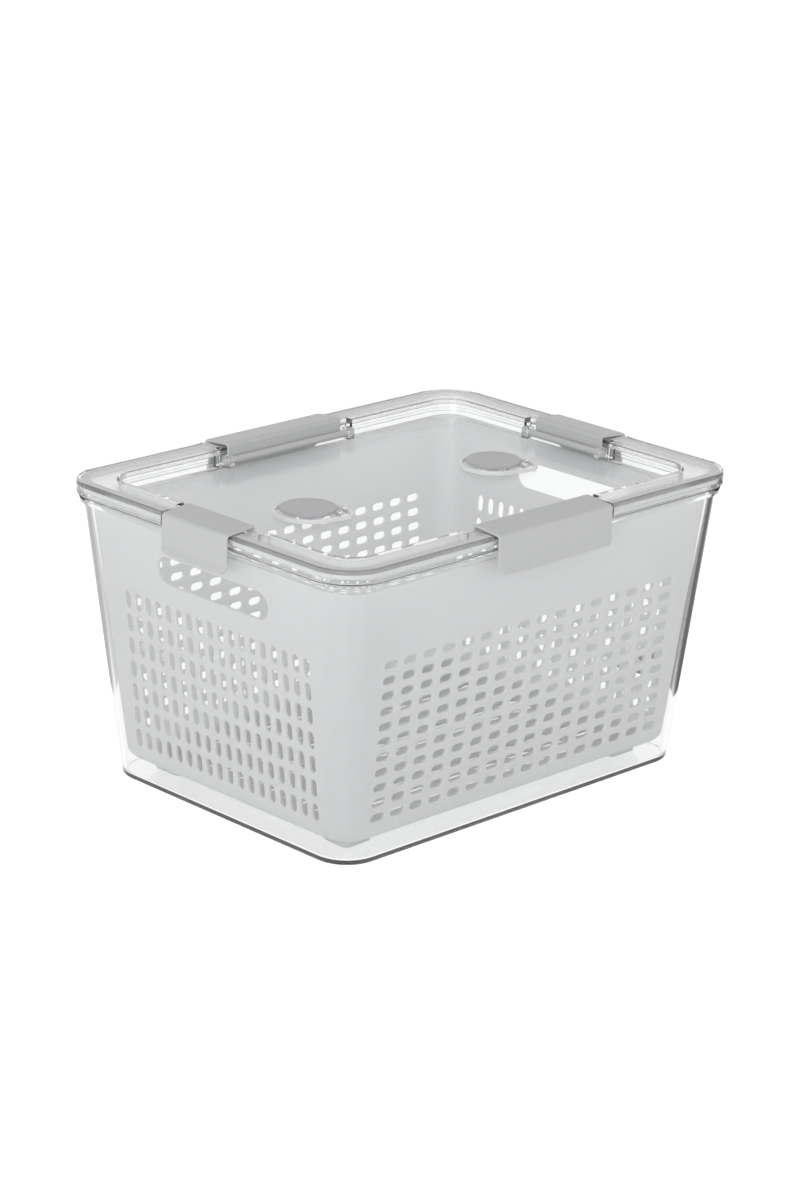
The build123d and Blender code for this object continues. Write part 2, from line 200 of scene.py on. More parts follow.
def round_rectangle(half_x: Array, half_y: Array, radius: Array, arc: int) -> Array:
    """Rings of points round rounded rectangles, counter-clockwise seen from above.

    Each corner's centre lies a radius in from both sides, and its points are centre + radius * (cos t, sin t)
    with t over a quarter turn.

    Args:
        half_x: half length of each ring.
        half_y: half width of each ring.
        radius: corner radius of each ring.
        arc: stretches in each corner.

    Returns:
        Array of shape (rings, 4 * (arc + 1), 2).
    """
    turn = np.linspace(0, QUARTER, arc + 1)
    corners = []
    for quarter, (sign_x, sign_y) in enumerate(((1, 1), (-1, 1), (-1, -1), (1, -1))):
        angle = turn + quarter * QUARTER
        x = sign_x * (half_x - radius)[:, None] + radius[:, None] * np.cos(angle)
        y = sign_y * (half_y - radius)[:, None] + radius[:, None] * np.sin(angle)
        corners.append(pairs(x, y))
    return np.concatenate(corners, axis=1)


def gap_faces(outer: Array, inner: Array) -> Array:
    """Fill the flat gap between two nested closed outlines with triangles.

    Both outlines run counter-clockwise round the inner one's middle. Their edges are taken in the order of the
    angles of their midpoints, and each edge makes a triangle with the point that the other outline has reached.

    Args:
        outer: points of shape (n, 2).
        inner: points of shape (m, 2).

    Returns:
        Triangles of shape (n + m, 3); the inner outline's points are numbered from n.
    """
    middle = inner.mean(axis=0)
    turns = []
    for outline in (outer, inner):
        between = (outline + np.roll(outline, -1, axis=0)) / 2 - middle
        turns.append(np.arctan2(between[:, 1], between[:, 0]))
    orders = [np.argsort(turn) for turn in turns]
    places = [turn[order] for turn, order in zip(turns, orders)]
    wide, narrow = len(outer), len(inner)
    on_inner = orders[1][(np.searchsorted(places[1], turns[0]) - 1) % narrow]
    on_outer = orders[0][(np.searchsorted(places[0], turns[1], side="right") - 1) % wide]
    first, second = np.arange(wide), np.arange(narrow)
    from_outer = [first, (first + 1) % wide, wide + (on_inner + 1) % narrow]
    from_inner = [(on_outer + 1) % wide, wide + (second + 1) % narrow, wide + second]
    return np.concatenate([np.stack(from_outer, axis=1), np.stack(from_inner, axis=1)])


def strip_faces(lower: Array, upper: Array) -> Array:
    """Fill the gap between two open rows of points with triangles.

    Args:
        lower: rising positions of the lower row's points, from 0 to 1.
        upper: rising positions of the upper row's points, from 0 to 1.

    Returns:
        Triangles; the upper row's points are numbered after the lower row's.
    """
    count = len(lower)
    first, second = np.arange(1, count), np.arange(1, len(upper))
    over = np.clip(np.searchsorted(upper, lower[1:]) - 1, 0, None)
    under = np.clip(np.searchsorted(lower, upper[1:], side="right") - 1, 0, None)
    rising = np.stack([first - 1, first, count + over], axis=1)
    falling = np.stack([under, count + second, count + second - 1], axis=1)
    return np.concatenate([rising, falling])


def stadium(length: float, height: float, steps: int) -> Array:
    """Outline of a slot with round ends, counter-clockwise about its middle.

    Each end is a half circle of half the smaller size, and straight runs join the ends.

    Args:
        length: size across.
        height: size up.
        steps: stretches in each end.

    Returns:
        Array of shape (2 * (steps + 1), 2).
    """
    radius = min(length, height) / 2
    reach = np.array([length, height]) / 2 - radius
    turn = np.linspace(-QUARTER, QUARTER, steps + 1) + (0.0 if length > height else QUARTER)
    return np.concatenate([reach + radius * rays(turn), -reach + radius * rays(turn + math.pi)])


def bevelled_slot(size: tuple, bevel: float, steps: int) -> tuple:
    """Outlines of the bevel round a slot and of the slot itself, whose size is given across and up."""
    length, height = size
    return stadium(length + 2 * bevel, height + 2 * bevel, steps), stadium(length, height, steps)


def rod_rows(place: Callable, section: Array, ends: list) -> list:
    """Rows of points along a rod; ends holds (place, scale) pairs from its first end to where it is full."""
    mirrored = [(-at, scale) for at, scale in ends[::-1]]
    return [place(section * scale, at) for at, scale in ends + mirrored]


@dataclass
class Patches:
    """Gathers pieces of a surface and joins them where they meet."""

    points: list = field(default_factory=list)
    faces: list = field(default_factory=list)
    count: int = 0

    def add(self, points: Array, faces: Array, inward: bool = False) -> None:
        """Add a piece of surface.

        Args:
            points: array of shape (n, 3).
            faces: array of vertex numbers, one row for each face.
            inward: whether its faces are to be turned round.
        """
        ordered = faces[:, ::-1] if inward else faces
        self.points.append(points)
        self.faces.extend((ordered + self.count).tolist())
        self.count += len(points)

    def loft(self, rows: list, inward: bool = False, wrap: bool = False, capped: bool = False) -> None:
        """Add the surface through closed rows of points.

        Args:
            rows: arrays of shape (n, 3), one for each row.
            inward: whether its faces are to be turned round.
            wrap: whether the last row joins the first.
            capped: whether a face closes each end.
        """
        count = len(rows[0])
        self.add(np.concatenate(rows), grid_faces(len(rows), count, wrap, True), inward)
        if capped:
            cap = np.arange(count)[None, :]
            self.add(rows[0], cap, not inward)
            self.add(rows[-1], cap, inward)

    def make(self, name: str, even: bool = True) -> bpy.types.Object:
        """Merge the points that coincide and make an object, smooth but for edges past SMOOTH_ANGLE.

        Args:
            name: name of the object and of its mesh.
            even: whether large faces lead the shading, so that flat walls look flat up to their round edges.

        Returns:
            The object, at the origin.
        """
        mesh = bpy.data.meshes.new(name)
        mesh.from_pydata(np.concatenate(self.points), [], self.faces)
        shape = bmesh.new()
        shape.from_mesh(mesh)
        bmesh.ops.remove_doubles(shape, verts=shape.verts, dist=MERGE_DISTANCE)
        bmesh.ops.dissolve_degenerate(shape, edges=shape.edges, dist=SLIVER)
        shape.to_mesh(mesh)
        shape.free()
        mesh.polygons.foreach_set("use_smooth", np.ones(len(mesh.polygons), bool))
        mesh.set_sharp_from_angle(angle=SMOOTH_ANGLE)
        mesh.update()
        thing = bpy.data.objects.new(name, mesh)
        bpy.context.scene.collection.objects.link(thing)
        if even:
            thing.modifiers.new("even shading", "WEIGHTED_NORMAL").keep_sharp = True
        return thing


# ---------------------------------------------------------------- nodes
@dataclass
class Wiring:
    """Nodes of a material, a world or a group, which go by short names."""

    tree: bpy.types.NodeTree
    parts: dict = field(init=False)

    def __post_init__(self) -> None:
        """Take over the nodes that the tree already has."""
        self.parts = {node.name: node for node in self.tree.nodes}

    def feed(self, name: str, inputs: dict) -> None:
        """Set or link the inputs of a node.

        Args:
            name: the node.
            inputs: a number or colour for each input, or "node.output" for what feeds it.
        """
        for key, source in inputs.items():
            socket = self.parts[name].inputs[key]
            if isinstance(source, str):
                giver, output = source.split(".")
                output = int(output) if output.isdigit() else output
                self.tree.links.new(self.parts[giver].outputs[output], socket)
            else:
                socket.default_value = source

    def add(self, name: str, kind: str, inputs: dict | None = None, **settings: object) -> None:
        """Add a node.

        Args:
            name: what it goes by.
            kind: its type, without the word ShaderNode.
            inputs: as feed takes them.
            **settings: its other settings.
        """
        node = self.parts[name] = self.tree.nodes.new(f"ShaderNode{kind}")
        for key, value in settings.items():
            setattr(node, key, value)
        self.feed(name, inputs or {})

    def math(self, name: str, operation: str, *inputs: object) -> None:
        """Add a math node.

        Args:
            name: what it goes by.
            operation: what it works out.
            *inputs: its inputs in order, as feed takes them.
        """
        self.add(name, "Math", dict(enumerate(inputs)), operation=operation)

    def smooth_step(self, name: str, source: str, edge: tuple, ends: tuple) -> None:
        """Add a smooth step from one value to another.

        Args:
            name: what it goes by.
            source: what feeds it.
            edge: where the step starts and ends.
            ends: the results before and after it.
        """
        low, high = edge
        before, after = ends
        values = {"Value": source, "From Min": low, "From Max": high, "To Min": before, "To Max": after}
        self.add(name, "MapRange", values, interpolation_type="SMOOTHSTEP")


def new_group(name: str, inputs: dict, outputs: dict) -> Wiring:
    """Start a node group.

    Args:
        name: its name.
        inputs: kind of each input socket.
        outputs: kind of each output socket.

    Returns:
        Its wiring, with the nodes "in" and "out".
    """
    tree = bpy.data.node_groups.new(name, "ShaderNodeTree")
    for way, sockets in (("INPUT", inputs), ("OUTPUT", outputs)):
        for socket, kind in sockets.items():
            tree.interface.new_socket(socket, in_out=way, socket_type=f"NodeSocket{kind}")
    wiring = Wiring(tree)
    wiring.parts["in"] = tree.nodes.new("NodeGroupInput")
    wiring.parts["out"] = tree.nodes.new("NodeGroupOutput")
    return wiring


def new_material(name: str) -> tuple:
    """Start a material.

    Args:
        name: its name.

    Returns:
        The material and its wiring.
    """
    material = bpy.data.materials.new(name)
    material.use_nodes = True
    return material, Wiring(material.node_tree)


# ---------------------------------------------------------------- finishes
class Tone(Enum):
    """Colours of the opaque and milky pieces, as linear red, green and blue."""

    BASKET = (0.60, 0.605, 0.615)
    CLIP = (0.62, 0.625, 0.63)
    CAP = (0.54, 0.545, 0.555)
    SEAL = (0.70, 0.705, 0.71)


@cache
def mottle_group() -> bpy.types.NodeTree:
    """Node group for moulded plastic: slow drift of tone, fine grain in the roughness and for a bump.

    Returns:
        The group, with inputs Colour, Drift, Grain and Roughness, and outputs Colour, Roughness and Height.
    """
    inputs = {"Colour": "Color", "Drift": "Float", "Grain": "Float", "Roughness": "Float"}
    group = new_group("moulded plastic", inputs, {"Colour": "Color", "Roughness": "Float", "Height": "Float"})
    group.add("place", "TexCoord")
    group.add("slow", "TexNoise", {"Vector": "place.Object", "Scale": 9.0, "Detail": 2.0})
    group.add("fine", "TexNoise", {"Vector": "place.Object", "Scale": 900.0, "Detail": 3.0})
    group.math("centred", "SUBTRACT", "slow.Fac", 0.5)
    group.math("drift", "MULTIPLY_ADD", "centred.0", "in.Drift", 1.0)
    group.add("tint", "VectorMath", {0: "in.Colour", "Scale": "drift.0"}, operation="SCALE")
    group.math("rough", "MULTIPLY_ADD", "fine.Fac", "in.Grain", "in.Roughness")
    group.math("height", "MULTIPLY", "fine.Fac", "in.Grain")
    group.feed("out", {"Colour": "tint.0", "Roughness": "rough.0", "Height": "height.0"})
    return group.tree


@dataclass(frozen=True)
class SatinPlastic:
    """Opaque or milky moulded plastic with a soft sheen."""

    name: str
    tone: Tone
    roughness: float = 0.42
    drift: float = 0.05
    grain: float = 0.08
    shine: float = 0.4
    depth: float = 0.0
    softness: float = 1.0
    bending: float = 1.5
    bump: float = 0.12
    bump_height: float = 0.2 * MM

    @cache
    def make(self) -> bpy.types.Material:
        """Build the material.

        Returns:
            The material, made once for each finish.
        """
        material, wiring = new_material(self.name)
        mottle = {
            "Colour": (*self.tone.value, 1),
            "Drift": self.drift,
            "Grain": self.grain,
            "Roughness": self.roughness,
        }
        wiring.add("mottle", "Group", mottle, node_tree=mottle_group())
        bump = {"Height": "mottle.Height", "Strength": self.bump, "Distance": self.bump_height}
        wiring.add("bump", "Bump", bump)
        shader = {
            "Base Color": "mottle.Colour",
            "Roughness": "mottle.Roughness",
            "Normal": "bump.Normal",
            "IOR": self.bending,
            "Specular IOR Level": self.shine,
        }
        if self.depth:
            wiring.parts["Principled BSDF"].subsurface_method = "RANDOM_WALK"
            shader["Subsurface Weight"] = self.softness
            shader["Subsurface Radius"] = (self.depth, self.depth, self.depth)
            shader["Subsurface Scale"] = 1.0
        wiring.feed("Principled BSDF", shader)
        return material


@dataclass(frozen=True)
class ClearPlastic:
    """Clear glossy plastic that bends light and lets it through to what stands inside."""

    name: str = "clear plastic"
    colour: tuple = (0.985, 0.99, 0.99)
    bending: float = 1.46
    roughness: float = 0.0
    clarity: float = 1.0

    @cache
    def make(self) -> bpy.types.Material:
        """Build the material, which doesn't hold back light that only passes through its wall.

        Returns:
            The material, made once for each finish.
        """
        material, wiring = new_material(self.name)
        shader = {
            "Base Color": (*self.colour, 1),
            "Roughness": self.roughness,
            "IOR": self.bending,
            "Transmission Weight": self.clarity,
        }
        wiring.feed("Principled BSDF", shader)
        wiring.add("through", "BsdfTransparent", {"Color": (1, 1, 1, 1)})
        wiring.add("path", "LightPath")
        wiring.math("either", "MAXIMUM", "path.Is Shadow Ray", "path.Is Diffuse Ray")
        wiring.add("mix", "MixShader", {"Fac": "either.0", 1: "Principled BSDF.0", 2: "through.0"})
        wiring.feed("Material Output", {"Surface": "mix.0"})
        return material


BASKET_FINISH = SatinPlastic("basket plastic", Tone.BASKET, depth=12 * MM)
CLIP_FINISH = SatinPlastic("clip plastic", Tone.CLIP, roughness=0.3, shine=0.12)
CAP_FINISH = SatinPlastic("cap plastic", Tone.CAP, roughness=0.38)
SEAL_FINISH = SatinPlastic("milky silicone", Tone.SEAL, 0.41, shine=0.5, depth=0.1 * MM, softness=0.3)
CLEAR_FINISH = ClearPlastic()
PANEL_FINISH = ClearPlastic("clear plastic with little shine", bending=1.12)
DIMMED_FINISH = ClearPlastic("softly frosted clear plastic", roughness=0.22)
# painted highlight: the vent rims' finish is rough and milky white, and its white stands in for the bright
# highlight on their clear walls
FROSTED_RIM_PAINTED_HIGHLIGHT_FINISH = ClearPlastic("frosted clear plastic", (0.97, 0.975, 0.98), roughness=0.3, clarity=0.2)
Finish = SatinPlastic | ClearPlastic


def dress(thing: bpy.types.Object, finish: Finish, slot: str, body: str, *nodes: str) -> None:
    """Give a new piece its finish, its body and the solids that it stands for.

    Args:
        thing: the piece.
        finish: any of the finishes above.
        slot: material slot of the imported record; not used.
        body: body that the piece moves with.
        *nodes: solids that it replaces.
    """
    thing.data.materials.clear()
    thing.data.materials.append(finish.make())
    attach(thing, body)
    if nodes:
        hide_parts(*nodes)
    LOG.info("%s rides on %s, %d faces", thing.name, body, len(thing.data.polygons))


def finish_level(thing: bpy.types.Object, finish: Finish, *levels: float) -> None:
    """Give the level faces of a piece at some heights a finish of their own.

    Args:
        thing: the piece.
        finish: the finish of those faces.
        *levels: their heights.
    """
    upright, slack = 0.99, 0.1 * MM
    number = len(thing.data.materials)
    thing.data.materials.append(finish.make())
    for polygon in thing.data.polygons:
        gap = min(abs(polygon.center.z - level) for level in levels)
        if abs(polygon.normal.z) > upright and gap < slack:
            polygon.material_index = number


# ---------------------------------------------------------------- sub-assemblies
@dataclass
class Drafted:
    """Leaning walls that the tub and the basket share."""

    lean: float = math.tan(math.radians(5.2))
    half_x: float = 140.2 * MM
    half_y: float = 104.2 * MM
    corner: float = 22.0 * MM
    arc: int = 14

    def sweep(self, profile: Array) -> Array:
        """Carry a profile round the walls.

        A profile point is (offset, height). Its ring is a rounded rectangle whose half sizes are the foot's
        half sizes + lean * height + offset, and whose corner radius is the foot's radius + offset.

        Args:
            profile: array of shape (n, 2).

        Returns:
            Array of shape (n, points in a ring, 3).
        """
        offset, height = profile.T
        grown = self.lean * height + offset
        ring = round_rectangle(self.half_x + grown, self.half_y + grown, self.corner + offset, self.arc)
        return lift(ring, height)


@dataclass
class ClearTub:
    """The clear outer tub with its turned-down flange."""

    walls: Drafted = field(default_factory=Drafted)
    wall: float = 2.4 * MM
    floor: float = 2.4 * MM
    floor_margin: float = 14 * MM
    foot_round: float = 1.6 * MM
    flange_top: float = 174.1 * MM
    flange_reach: float = 2.9 * MM
    flange_thick: float = 2.2 * MM
    flange_drop: float = 4.8 * MM
    flange_lip: float = 1.5 * MM
    undercut: float = 1.0 * MM
    rim_top: float = 176.7 * MM
    rim_round: float = 0.5 * MM

    def profile(self) -> Array:
        """Section of the tub from the underside of its floor over the rim to the inside of its floor.

        Returns:
            Array of (offset, height) pairs.
        """
        under = self.flange_top - self.flange_thick
        lip = self.flange_top - self.flange_drop
        reach, rim = self.flange_reach, self.rim_round
        low = reach - self.undercut + self.walls.lean * (self.flange_top - lip)
        corners = [
            (-self.floor_margin, 0.0, 0.0),
            (0.0, 0.0, self.foot_round),
            (0.0, under, rim),
            (low - self.flange_lip, under, 0.3 * MM),
            (low - self.flange_lip, lip, 0.3 * MM),
            (low, lip, 0.4 * MM),
            (reach, self.flange_top, 0.6 * MM),
            (0.0, self.flange_top, rim),
            (0.0, self.rim_top, rim),
            (-self.wall, self.rim_top, rim),
            (-self.wall, self.floor, self.floor),
            (-self.floor_margin, self.floor, 0.0),
        ]
        return rounded_outline(corners, 4)

    def build(self) -> None:
        """Sweep the section round the tub and close the floor inside and outside."""
        skin = Patches()
        skin.loft(self.walls.sweep(self.profile()), capped=True)
        tub = skin.make("tub", even=False)
        dress(tub, CLEAR_FINISH, "clear_plastic", "container", "container")
        finish_level(tub, DIMMED_FINISH, 0.0)


@dataclass
class SlotField:
    """Rows of round-ended slots in one wall or in the floor."""

    columns: int
    rows: int
    pitch: float
    slot: tuple
    inset: float = 0.0
    bevel: float = 0.35 * MM
    steps: int = 5

    def stations(self) -> Array:
        """Borders of the columns, the outer ones drawn in by the inset.

        Returns:
            Array of their places.
        """
        borders = (np.arange(self.columns + 1) - self.columns / 2) * self.pitch
        borders[0] += self.inset
        borders[-1] -= self.inset
        return borders

    def cells(self, levels: Array) -> tuple:
        """Rectangles with a slot in the middle of each.

        Args:
            levels: borders of the rows.

        Returns:
            Corner points, bevel's outer points and slot's points, each of shape (cells, points, 2).
        """
        borders = self.stations()
        column, row = (grid.ravel() for grid in np.meshgrid(np.arange(self.columns), np.arange(self.rows)))
        low, high = levels[row], levels[row + 1]
        left, right = borders[column], borders[column + 1]
        middle = pairs((column + 0.5 - self.columns / 2) * self.pitch, (low + high) / 2)[:, None, :]
        corners = np.stack([left, low, right, low, right, high, left, high], axis=1).reshape(-1, 4, 2)
        wide, hole = bevelled_slot(self.slot, self.bevel, self.steps)
        return corners, middle + wide, middle + hole


@dataclass
class SlottedBasket:
    """The colander that stands inside the tub: slotted walls, hand holes, slotted floor and four feet."""

    walls: Drafted = field(default_factory=Drafted)
    skin: Patches = field(default_factory=Patches)
    outside: float = -5.8 * MM
    wall: float = 2.0 * MM
    under: float = 10.4 * MM
    floor: float = 2.2 * MM
    top: float = 166.0 * MM
    rounding: float = 8.0 * MM
    rim_round: float = 0.7 * MM
    field_foot: float = 20.3 * MM
    field_head: float = 123.2 * MM
    hand_head: float = 158.0 * MM
    hand_hole: tuple = (95.0 * MM, 17.0 * MM)
    hand_height: float = 143.0 * MM
    hand_bevel: float = 0.5 * MM
    hand_steps: int = 16
    long_field: SlotField = field(
        default_factory=lambda: SlotField(16, 11, 15.0 * MM, (10.3 * MM, 5.0 * MM), 1.1 * MM)
    )
    short_field: SlotField = field(default_factory=lambda: SlotField(18, 7, 9.09 * MM, (5.2 * MM, 10.8 * MM)))
    floor_field: SlotField = field(default_factory=lambda: SlotField(8, 12, 28.6 * MM, (21.0 * MM, 5.4 * MM)))
    floor_pitch: float = 13.2 * MM
    foot_size: float = 21.0 * MM
    foot_inset: float = 15.5 * MM
    foot_wall: float = 2.0 * MM
    foot_drop: float = 7.8 * MM
    foot_sink: float = 0.3 * MM
    foot_corner: float = 3 * MM
    foot_round: float = 0.6 * MM

    def on_wall(self, side: int, flat: Array, offset: float) -> Array:
        """Lay flat points (s, z) on a wall: s along it, z up and half the foot's size + lean * z + offset out.

        Args:
            side: quarter turns from the front wall, counter-clockwise.
            flat: array of shape (n, 2).
            offset: distance out from the tub's outer wall.

        Returns:
            Array of shape (n, 3).
        """
        half = self.walls.half_x if side % 2 else self.walls.half_y
        across, height = flat.T
        return lay(side, across, half + self.walls.lean * height + offset, height)

    def straight(self, side: int, height: Array) -> Array:
        """Half length of a wall's flat part at each height."""
        half = self.walls.half_y if side % 2 else self.walls.half_x
        return half + self.walls.lean * height - self.walls.corner

    def pierce(self, place: Callable, corners: Array, wide: Array, hole: Array) -> None:
        """Add cells with their holes to both skins, and the walls of the holes between them.

        Args:
            place: function that lays flat points at a depth: 0 outer skin, 1 foot of the bevel, 2 inner skin.
            corners: outlines of the cells.
            wide: outlines of the bevels.
            hole: outlines of the holes.
        """
        cells, count = wide.shape[:2]
        number = np.arange(cells)[:, None, None]
        for inner, depth in ((wide, 0), (hole, 2)):
            flat = np.concatenate([corners, inner], axis=1)
            faces = gap_faces(corners[0], inner[0]) + number * flat.shape[1]
            self.skin.add(place(flat.reshape(-1, 2), depth), faces.reshape(-1, 3), inward=depth == 2)
        rings = [place(outline.reshape(-1, 2), depth) for outline, depth in ((wide, 0), (hole, 1), (hole, 2))]
        points = np.stack([ring.reshape(cells, count, 3) for ring in rings], axis=1).reshape(-1, 3)
        tube = grid_faces(len(rings), count, False, True) + number * len(rings) * count
        self.skin.add(points, tube.reshape(-1, 4))

    def add_wall(self, side: int) -> None:
        """Add both skins of one wall between its two corners.

        Args:
            side: quarter turns from the front wall.
        """
        slots = self.short_field if side % 2 else self.long_field
        offsets = (self.outside, self.outside - slots.bevel, self.outside - self.wall)
        levels = np.linspace(self.field_foot, self.field_head, slots.rows + 1)
        borders, none = slots.stations(), np.empty(0)

        def place(flat: Array, depth: int) -> Array:
            """Lay flat points on this wall at a depth."""
            return self.on_wall(side, flat, offsets[depth])

        def strip(lower: Array, upper: Array, axis: int = 0) -> None:
            """Add the strip between two rows of flat points to both skins.

            Args:
                lower: the lower or left row.
                upper: the upper or right row.
                axis: 0 where the rows run along the wall, 1 where they run up it.
            """
            runs = [row[:, axis] for row in (lower, upper)]
            faces = strip_faces(*((run - run[0]) / (run[-1] - run[0]) for run in runs))
            flat = np.concatenate([lower, upper])
            self.skin.add(place(flat, 0), faces, inward=axis == 1)
            self.skin.add(place(flat, 2), faces, inward=axis == 0)

        def across(height: float, stops: Array = none) -> Array:
            """Row of points at a height: both ends of the flat part and the stops between them."""
            end = self.straight(side, height)
            return pairs(np.concatenate([[-end], stops, [end]]), height)

        def flanks(stops: Array) -> None:
            """Add the strips between the outer columns and the wall's corners.

            Args:
                stops: heights of the columns' points.
            """
            ends = stops[[0, -1]]
            for end in (-1, 1):
                edge = pairs(borders[0] * -end, stops)
                corner = pairs(end * self.straight(side, ends), ends)
                strip(*((corner, edge) if end < 0 else (edge, corner)), 1)

        self.pierce(place, *slots.cells(levels))
        foot, head = self.under + self.rounding, self.top - self.rim_round
        strip(across(foot), across(self.field_foot, borders))
        flanks(levels)
        if side % 2:
            self.add_hand_hole(place, borders)
            flanks(np.array([self.field_head, self.hand_head]))
        else:
            strip(across(self.field_head, borders), across(self.hand_head))
        strip(across(self.hand_head, borders if side % 2 else none), across(head))

    def add_hand_hole(self, place: Callable, borders: Array) -> None:
        """Add the wall round a hand hole, from the slots up to above the hole.

        Args:
            place: function that lays flat points at a depth.
            borders: borders of the columns of slots below it.
        """
        corners = np.concatenate([pairs(borders, self.field_head), pairs(borders[::-1], self.hand_head)])
        middle = np.array([0, self.hand_height])
        outlines = bevelled_slot(self.hand_hole, self.hand_bevel, self.hand_steps)
        wide, hole = (middle + outline for outline in outlines)
        self.pierce(place, corners[None], wide[None], hole[None])

    def add_floor(self) -> None:
        """Add both skins of the floor with its drain slots."""
        slots = self.floor_field
        y = (np.arange(slots.rows + 1) - slots.rows / 2) * self.floor_pitch
        x = slots.stations()
        heights = (self.under + self.floor, self.under + self.floor - slots.bevel, self.under)

        def place(flat: Array, depth: int) -> Array:
            """Lay flat points at one of the floor's heights."""
            return at_height(flat, heights[depth])

        self.pierce(place, *slots.cells(y))
        sides = [pairs(x[:-1], y[0]), pairs(x[-1], y[:-1]), pairs(x[:0:-1], y[-1]), pairs(x[0], y[:0:-1])]
        edge = np.concatenate(sides)
        inner_foot = self.outside - self.wall - (self.rounding - self.floor)
        for depth, offset in ((0, inner_foot), (2, self.outside - self.rounding)):
            ring = self.walls.sweep(np.array([(offset, heights[depth])]))[0][:, :2]
            points = place(np.concatenate([ring, edge]), depth)
            self.skin.add(points, gap_faces(ring, edge), inward=depth == 2)

    def add_shell(self) -> None:
        """Add the four round corners, the rounding at the foot and the rim."""
        outside, inside, rim = self.outside, self.outside - self.wall, self.rim_round
        foot, head = self.under + self.rounding, self.top - rim
        levels = np.array([foot, self.field_foot, self.field_head, self.hand_head, head])
        arc = self.walls.arc + 1
        for offset in (outside, inside):
            rings = self.walls.sweep(pairs(offset, levels))
            faces = grid_faces(len(levels), arc, False, False)
            for quarter in range(4):
                corner = rings[:, quarter * arc:(quarter + 1) * arc].reshape(-1, 3)
                self.skin.add(corner, faces, inward=offset == inside)
        turn = np.linspace(0, QUARTER, 9)
        bends = []
        for offset, radius in ((outside, self.rounding), (inside, self.rounding - self.floor)):
            bends.append(pairs(offset - radius * (1 - np.cos(turn)), foot - radius * np.sin(turn)))
        edge = [(outside, head, 0), (outside, self.top, rim), (inside, self.top, rim), (inside, head, 0)]
        for profile in (bends[0][::-1], bends[1], rounded_outline(edge, 4)):
            self.skin.loft(self.walls.sweep(profile))

    def add_feet(self) -> None:
        """Add four hollow square feet, each a rounded square carried down, in and up again."""
        half, wall = self.foot_size / 2, self.foot_wall
        grown = self.walls.lean * self.under
        base_x, base_y = (
            size + grown + self.outside - self.foot_inset - half
            for size in (self.walls.half_x, self.walls.half_y)
        )
        low, high = self.under - self.foot_drop, self.under + self.foot_sink
        corners = [(0, high, 0), (0, low, self.foot_round), (-wall, low, self.foot_round), (-wall, high, 0)]
        offset, height = rounded_outline(corners, 3).T
        rings = lift(round_rectangle(half + offset, half + offset, self.foot_corner + offset, 5), height)
        for sign_x in (-1, 1):
            for sign_y in (-1, 1):
                shift = np.array([sign_x * base_x, sign_y * base_y, 0])
                self.skin.loft(rings + shift, inward=True, wrap=True)

    def build(self) -> None:
        """Build the whole basket and dress it."""
        for side in range(4):
            self.add_wall(side)
        self.add_floor()
        self.add_shell()
        self.add_feet()
        dress(self.skin.make("slotted_basket"), BASKET_FINISH, "basket_plastic", "basket", "basket")


@dataclass
class ClipPlace:
    """One clip's name, side, length and half size of the lid there, shared by the clips and the lid."""

    name: str
    side: int
    length: float
    half: float

    def place(self, across: Array, out: Array, up: Array) -> Array:
        """Lay points given along, outward from and above the middle of this clip's hinge axis."""
        return lay(self.side, across, self.half - HINGE_INSET + out, HINGE_HEIGHT + up)

    def section(self, flat: Array, across: float) -> Array:
        """Lay points (outward, up) of a section at a place along the hinge axis."""
        return self.place(across, *flat.T)


@dataclass
class Vent:
    """One vent's name and the place of its centre along the lid."""

    name: str
    middle: float

    def place(self, flat: Array, height: float) -> Array:
        """Lay flat points, given from the vent's centre towards its hinge, at a height.

        Args:
            flat: array of shape (n, 2).
            height: height above the table, for all points or for each.

        Returns:
            Array of shape (n, 3).
        """
        cos, sin = math.cos(VENT_TURN), math.sin(VENT_TURN)
        toward, aside = flat.T
        return at_height(pairs(self.middle + cos * toward - sin * aside, sin * toward + cos * aside), height)

    def section(self, flat: Array, across: float) -> Array:
        """Lay points (away from the cap, up) of a section at a place along the cap's hinge axis."""
        return self.place(pairs(CAP_HINGE + flat[:, 0], across), CAP_HEIGHT + flat[:, 1])


HINGE_INSET = 23.4 * MM
HINGE_HEIGHT = 175.8 * MM
LID_HALF = (160.045 * MM, 124.045 * MM)
CLIPS = (
    ClipPlace("front", 0, 92 * MM, LID_HALF[1]),
    ClipPlace("right", 1, 56 * MM, LID_HALF[0]),
    ClipPlace("back", 2, 92 * MM, LID_HALF[1]),
    ClipPlace("left", 3, 56 * MM, LID_HALF[0]),
)
VENT_TURN = math.radians(-55)
VENTS = (Vent("left", -75.5 * MM), Vent("right", 75.5 * MM))
VENT_HOLE = circle(10 * MM, 40)
CAP_HINGE = 19.6 * MM
CAP_HEIGHT = 174.8 * MM


@dataclass(frozen=True)
class Lug:
    """Sizes of a hinge's pierced lug: an upright box with a rounded head, from near to far along the hinge."""

    half: float
    foot: float
    head_round: float
    bore: float
    near: float
    far: float
    steps: tuple

    def outlines(self) -> tuple:
        """Outlines of the lug and of its bore, counter-clockwise.

        Returns:
            Two arrays of shape (n, 2).
        """
        corner_steps, bore_steps = self.steps
        box = round_box(-self.half, -self.foot, self.half, self.half, (0, self.head_round), corner_steps)
        return box, circle(self.bore, bore_steps)


